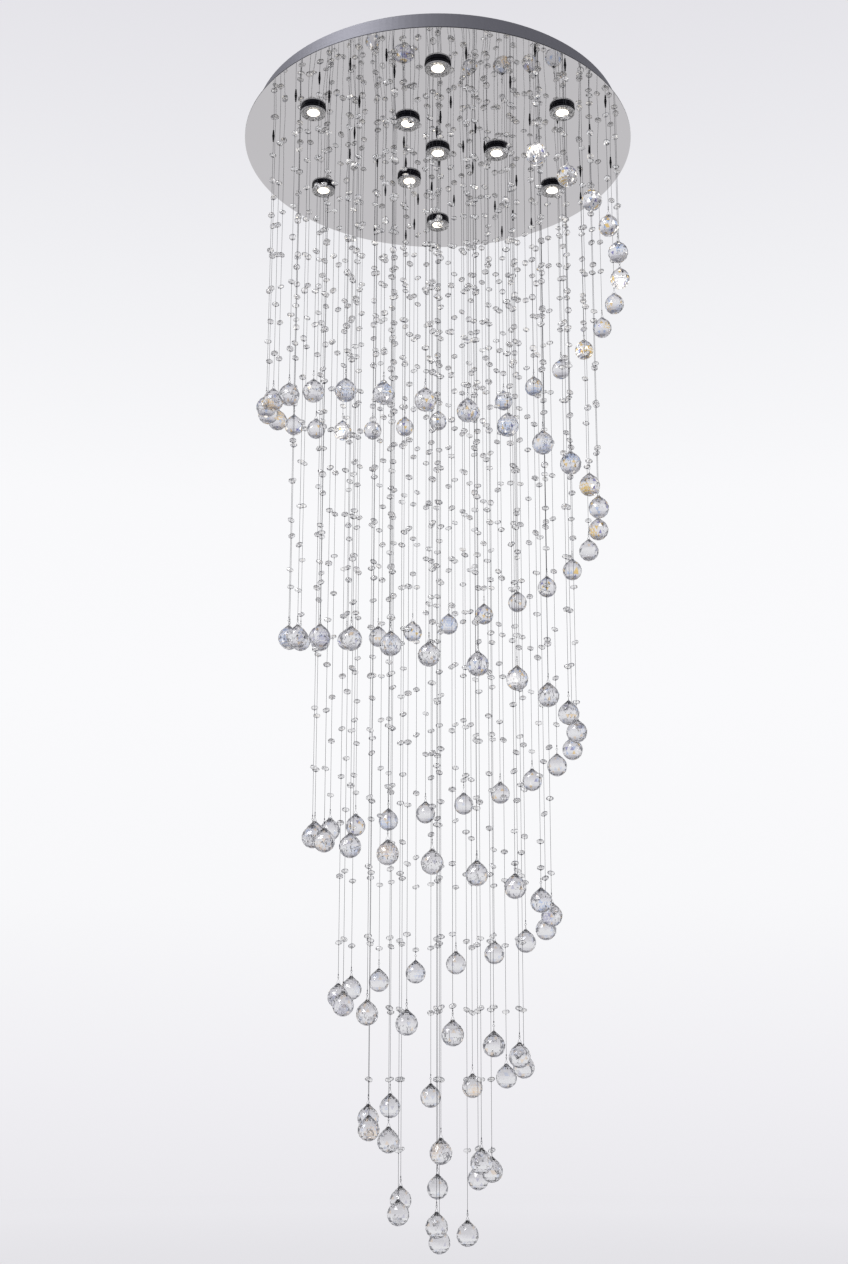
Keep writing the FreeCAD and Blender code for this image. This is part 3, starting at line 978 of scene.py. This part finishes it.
class CHANDELIER_OT_beads(bpy.types.Operator):
    """Thread the small cut beads on the wires, each on its crimp"""

    bl_idname = "chandelier.beads"
    bl_label = "Thread the beads"

    def execute(self, context):
        crystal = context.scene.chandelier_crystal
        glass = crystal_glass(
            "crystal_bead_cut", crystal.bead_clear, crystal.bead_painted_shade,
            first_shade=0.48, scatter=0.10, painted_pole_light=0.0, painted_flash=0.12, painted_glint=0.45,
        )
        hung = hung_copies_tree()
        bead = mesh_object("bead_master", bead_shape(crystal), [glass])
        stop = mesh_object("stop_master", stop_shape(crystal, context.scene.chandelier_wire), [black_crimp_and_shaded_grip()])
        common = {body: self.common_beads(body) for body in STRAND_BODIES}
        first_drop = PLATE_LOW.z - max(z for places in common.values() for _, _, z in places)
        draw = random.Random(crystal.seed)
        for body, strands in strands_by_body(crystal.ball_radius).items():
            points = list(common[body])
            for strand in strands:
                points += self.places_above(strand, first_drop, crystal, draw)
            # A free strand's CAD beads already have the name that ends in _beads.
            name = "canopy_beads" if body == "canopy" else f"{body}_beads_cut"
            beads = hang(name, hung, bead, points, crystal.seed, 2 * math.pi, crystal.bead_tilt)
            finish_piece(beads, body, "bead_crystal", *self.bead_nodes(body))
            finish_piece(hang(f"{body}_bead_stops", hung, stop, points, crystal.seed), body, "wire")
        bpy.data.batch_remove([bead, stop])
        return {"FINISHED"}

    def bead_nodes(self, body):
        """The CAD nodes that hold a body's beads at the common levels."""
        return strand_nodes(body, "beads", "beads", BEADED_TIERS)

    def common_beads(self, body):
        """The middles of a body's beads at the levels that all the long strands share."""
        corners = [pair for node in self.bead_nodes(body) for pair in solids_of(node)]
        return sorted(tuple((low + high) / 2) for low, high in corners)

    def places_above(self, strand, first_drop, crystal, draw):
        """Uneven steps down from the plate, which widen on the way to the first common level. They are drawn
        between two shares of the pitch."""
        pitch = crystal.bead_pitch
        level_gap, ball_gap = 0.35 * pitch, 22 * MM
        ball_drop = PLATE_LOW.z - strand.ball - crystal.ball_tip
        last_drop = min(first_drop - level_gap, ball_drop - ball_gap)
        places = []
        drop = draw.uniform(0.2, 0.8) * pitch
        while drop < last_drop:
            places.append((strand.x, strand.y, PLATE_LOW.z - drop))
            way = drop / first_drop
            shortest, longest = 0.45 + 0.3 * way, 0.85 + 0.25 * way
            drop += pitch * draw.uniform(shortest, longest)
        return places


class CHANDELIER_OT_studio(bpy.types.Operator):
    """Set up the camera, the soft lights, the pale floor and the background"""

    bl_idname = "chandelier.studio"
    bl_label = "Set up the studio"

    def execute(self, context):
        settings = context.scene.chandelier_studio
        self.set_camera(context.scene)
        self.set_floor(settings)
        self.set_world(context.scene, settings)
        self.set_lights(settings)
        return {"FINISHED"}

    def set_camera(self, scene):
        """The photograph's own view: from below the middle of the strands, looking up 13 degrees. The
        photograph's measures are in pixels, and the camera's place is in metres from the plate."""
        photo_height, focal_length, shift_right, shift_up = 1264, 1591.9, -13.8, 72.7
        distance, drop, upward = 2.974, 1.8806, 13.1
        sensor = 36
        camera = bpy.data.cameras.new("camera")
        camera.sensor_fit = "VERTICAL"
        camera.sensor_height = sensor
        camera.lens = focal_length / photo_height * sensor
        camera.shift_x = shift_right / photo_height
        camera.shift_y = shift_up / photo_height
        camera.clip_end = 100
        view = add_object("camera", camera)
        view.location = (0, -distance, PLATE_LOW.z - drop)
        view.rotation_euler = (math.radians(90 + upward), 0, 0)
        scene.camera = view

    def set_floor(self, settings):
        """A round floor of matt paint that keeps some shadow and otherwise shows a pale level, which rises
        from near the middle
        to 8 m out: painted shade, darker under the chandelier."""
        paint, tree, output = new_material("floor_matt_paint")
        uneven = grain(tree, 333, detail=3.0)
        relief = add_node(tree, "ShaderNodeBump", {"Height": uneven, "Distance": 0.1 * MM})
        matt = add_node(
            tree, "ShaderNodeBsdfPrincipled",
            {"Base Color": (*settings.floor_colour, 1), "Roughness": 0.8, "Normal": relief.outputs[0]},
        )
        # Painted shade: the pale level is darker within 2 m of the middle, under the chandelier, and pales
        # out to 8 m.
        near, far, pale_share = 2.0, 8.0, 0.85
        place = add_node(tree, "ShaderNodeTexCoord").outputs["Object"]
        reach = add_node(tree, "ShaderNodeVectorMath", {0: place}, operation="LENGTH").outputs["Value"]
        painted_shade_fade = add_node(tree, "ShaderNodeMapRange", {"Value": reach, "From Min": near, "From Max": far})
        shade = add_node(tree, "ShaderNodeValToRGB", {"Fac": painted_shade_fade.outputs[0]})
        set_ramp(shade.color_ramp, [(0.0, "#DEDDE1"), (1.0, "#F1F0F4")])
        pale = add_node(tree, "ShaderNodeEmission", {"Color": shade.outputs["Color"], "Strength": 1.0})
        share = add_node(tree, "ShaderNodeMath", {0: self.seen(tree), 1: pale_share}, operation="MULTIPLY")
        mixed = add_node(
            tree, "ShaderNodeMixShader", {0: share.outputs[0], 1: matt.outputs[0], 2: pale.outputs[0]}
        )
        tree.links.new(mixed.outputs[0], output.inputs["Surface"])
        disc = [(0, settings.floor_height), (settings.floor_radius, settings.floor_height)]
        floor = mesh_object("floor", lambda work: lathe(work, disc, 96), [paint])

    def seen(self, tree):
        """1 for what the camera sees by itself, in metal or through glass, and 0 for scattered light."""
        path = add_node(tree, "ShaderNodeLightPath").outputs
        seen = path["Is Camera Ray"]
        for kind in ("Is Glossy Ray", "Is Transmission Ray"):
            seen = add_node(tree, "ShaderNodeMath", {0: seen, 1: path[kind]}, operation="MAXIMUM").outputs[0]
        return seen

    def set_world(self, scene, settings):
        """A pale backdrop to the camera, to metal and to glass; an even, lower light to everything else."""
        world = bpy.data.worlds.new("studio")
        world.use_nodes = True
        scene.world = world
        tree = world.node_tree
        tree.nodes.clear()
        direction = add_node(tree, "ShaderNodeTexCoord").outputs["Generated"]
        height = add_node(tree, "ShaderNodeSeparateXYZ", {0: direction}).outputs["Z"]
        share = add_node(tree, "ShaderNodeMapRange", {"Value": height, "From Min": -1.0, "From Max": 1.0})
        ramp = add_node(tree, "ShaderNodeValToRGB", {"Fac": share.outputs[0]})
        shades = [
            (0.46, "#E9E8EC"), (0.493, "#EFEEF2"), (0.553, "#F8F8FA"), (0.615, "#FAFAFC"),
            (0.674, "#F9F9FB"), (0.73, "#F1F1F4"), (0.80, "#E4E3E8"), (0.92, "#8C8B92"),
        ]
        set_ramp(ramp.color_ramp, shades)
        backdrop = add_node(tree, "ShaderNodeBackground", {"Color": ramp.outputs["Color"], "Strength": 1.0})
        ambient = add_node(
            tree, "ShaderNodeBackground",
            {"Color": (*settings.ambient_colour, 1), "Strength": settings.ambient},
        )
        mixed = add_node(
            tree, "ShaderNodeMixShader", {0: self.seen(tree), 1: ambient.outputs[0], 2: backdrop.outputs[0]}
        )
        add_node(tree, "ShaderNodeOutputWorld", {"Surface": mixed.outputs[0]})

    def set_lights(self, settings):
        """Two round softboxes aimed at the strands, which the crystal reflects but doesn't show through."""
        aim = Vector((0, 0, -0.9))
        lights = (
            ("key_softbox", (-2.75, -2.45, 1.5), 2.6, settings.key_power),
            ("fill_softbox", (3.4, -1.6, -0.4), 2.0, settings.fill_power),
        )
        for name, place, width, watts in lights:
            lamp = bpy.data.lights.new(name, "AREA")
            lamp.shape = "DISK"
            lamp.size = width
            lamp.energy = watts
            light = add_object(name, lamp)
            light.visible_transmission = False
            light.location = place
            light.rotation_euler = (aim - Vector(place)).to_track_quat("-Z", "Y").to_euler()


# ---- panel and registration ----

STEPS = (
    CHANDELIER_OT_studio, CHANDELIER_OT_canopy, CHANDELIER_OT_lamps, CHANDELIER_OT_wires,
    CHANDELIER_OT_balls, CHANDELIER_OT_beads,
)
SETTINGS = {
    "chandelier_crystal": CrystalSettings,
    "chandelier_wire": WireSettings,
    "chandelier_lamp": LampSettings,
    "chandelier_canopy": CanopySettings,
    "chandelier_studio": StudioSettings,
}


class CHANDELIER_PT_panel(bpy.types.Panel):
    """Every step of the chandelier, in order"""

    bl_idname = "CHANDELIER_PT_panel"
    bl_label = "Chandelier"
    bl_space_type = "VIEW_3D"
    bl_region_type = "UI"
    bl_category = "Chandelier"

    def draw(self, context):
        for step in STEPS:
            self.layout.operator(step.bl_idname)


def register():
    for cls in (*SETTINGS.values(), *STEPS, CHANDELIER_PT_panel):
        bpy.utils.register_class(cls)
    for name, cls in SETTINGS.items():
        setattr(bpy.types.Scene, name, bpy.props.PointerProperty(type=cls))


def unregister():
    for name in SETTINGS:
        delattr(bpy.types.Scene, name)
    for cls in (CHANDELIER_PT_panel, *reversed(STEPS), *reversed(SETTINGS.values())):
        bpy.utils.unregister_class(cls)


def main():
    register()
    bpy.context.scene.view_settings.view_transform = "Standard"
    bpy.ops.chandelier.studio()
    bpy.ops.chandelier.canopy()
    bpy.ops.chandelier.lamps()
    bpy.ops.chandelier.wires()
    bpy.ops.chandelier.balls()
    bpy.ops.chandelier.beads()


if __name__ == "__main__":
    main()
